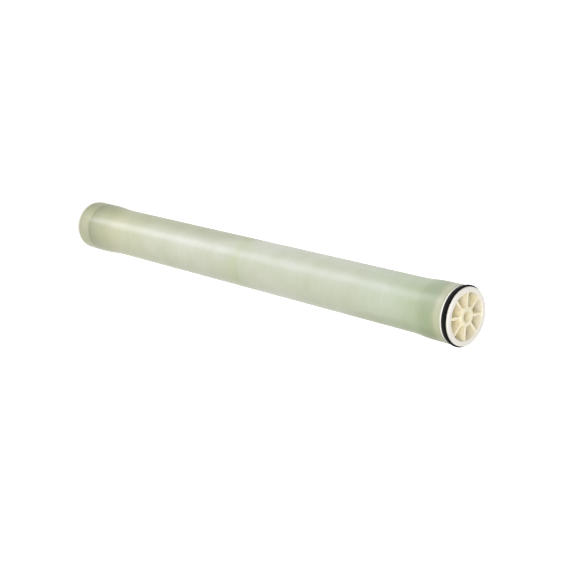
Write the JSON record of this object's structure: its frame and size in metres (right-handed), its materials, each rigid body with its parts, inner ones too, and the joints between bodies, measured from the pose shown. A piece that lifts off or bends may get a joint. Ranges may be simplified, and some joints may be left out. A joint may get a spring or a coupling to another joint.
{
  "type": "ro membrane element",
  "caption": "Spiral-wound reverse osmosis membrane element: a long glass fibre wrapped cylinder with spoked end caps, a central permeate tube and a brine seal at one end.",
  "frame": {"origin": "centre of the tail end face, on the floor that the element stands on", "axes": "+Z along the permeate tube, from the tail end to the feed end with the seal; the windows of both end caps are centred on the X and Y axes and half way between them"},
  "size_m": [0.1032, 0.1032, 1.016],
  "materials": {
    "tube_plastic": "smooth moulded off-white plastic",
    "cap_plastic": "smooth moulded cream-white plastic",
    "seal_rubber": "smooth black rubber",
    "fibreglass": "wound glass fibre in pale green resin, semi-gloss",
    "tape": "clear packing tape",
    "carrier_cloth": "knitted polyester stiffened with resin",
    "membrane": "satin white sheet",
    "spacer_net": "extruded diamond net"
  },
  "bodies": {
    "root": {"permeate_tube": "tube_plastic", "feed_end_cap": "cap_plastic", "tail_end_cap": "cap_plastic", "brine_seal": "seal_rubber", "fibreglass_shell": "fibreglass", "roll_tape": "tape", "permeate_carrier_1": "carrier_cloth", "permeate_carrier_2": "carrier_cloth", "permeate_carrier_3": "carrier_cloth", "permeate_carrier_4": "carrier_cloth", "permeate_carrier_5": "carrier_cloth", "permeate_carrier_6": "carrier_cloth", "membrane_sheet_1": "membrane", "membrane_sheet_2": "membrane", "membrane_sheet_3": "membrane", "membrane_sheet_4": "membrane", "membrane_sheet_5": "membrane", "membrane_sheet_6": "membrane", "feed_spacer_1": "spacer_net", "feed_spacer_2": "spacer_net", "feed_spacer_3": "spacer_net", "feed_spacer_4": "spacer_net", "feed_spacer_5": "spacer_net", "feed_spacer_6": "spacer_net"}
  },
  "joints": []
}
